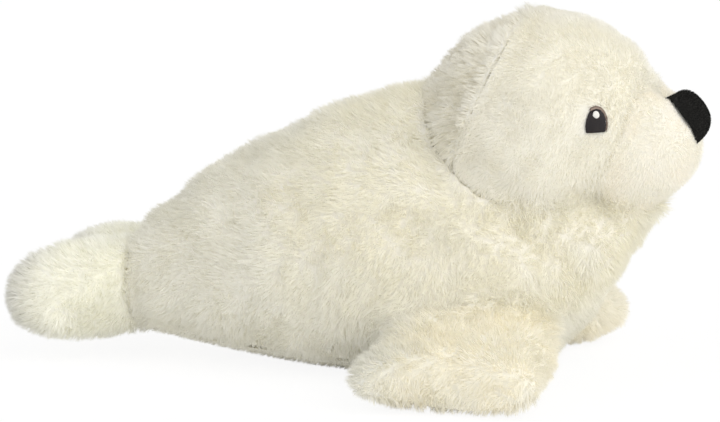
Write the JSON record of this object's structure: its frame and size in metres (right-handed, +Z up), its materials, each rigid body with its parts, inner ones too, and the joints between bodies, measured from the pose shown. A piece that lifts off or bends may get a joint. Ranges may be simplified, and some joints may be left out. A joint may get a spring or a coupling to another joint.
{
  "type": "plush seal",
  "caption": "Stuffed toy seal lying on its belly with its head raised, long cream pile, broad front and hind flippers, velour nose and stitched eyes.",
  "frame": {"origin": "on the resting plane, at the middle of the part's length and width", "axes": "+X from the tail towards the nose, +Y to the seal's left, +Z up"},
  "size_m": [0.3365, 0.2344, 0.1768],
  "materials": {
    "long_pile": "long polyester pile, brushed",
    "short_pile": "short sheared pile",
    "head_pile": "long polyester pile, fluffy",
    "face_pile": "medium polyester pile",
    "muzzle_pile": "short smooth pile",
    "flipper_pile": "long polyester pile",
    "black_velour": "short black velour",
    "dark_thread": "satin-stitched thread",
    "taupe_thread": "satin-stitched thread",
    "white_thread": "satin-stitched thread"
  },
  "bodies": {
    "root": {"body": "long_pile", "belly_panel": "short_pile", "head_back": "head_pile", "face": "face_pile", "muzzle": "muzzle_pile", "nose": "black_velour", "eye_left": "dark_thread", "eye_right": "dark_thread", "eye_rim_left": "taupe_thread", "eye_rim_right": "taupe_thread", "eye_glint_left": "white_thread", "eye_glint_right": "white_thread", "front_flipper_left": "flipper_pile", "front_flipper_right": "flipper_pile", "hind_flipper_left": "flipper_pile", "hind_flipper_right": "flipper_pile"}
  },
  "joints": []
}
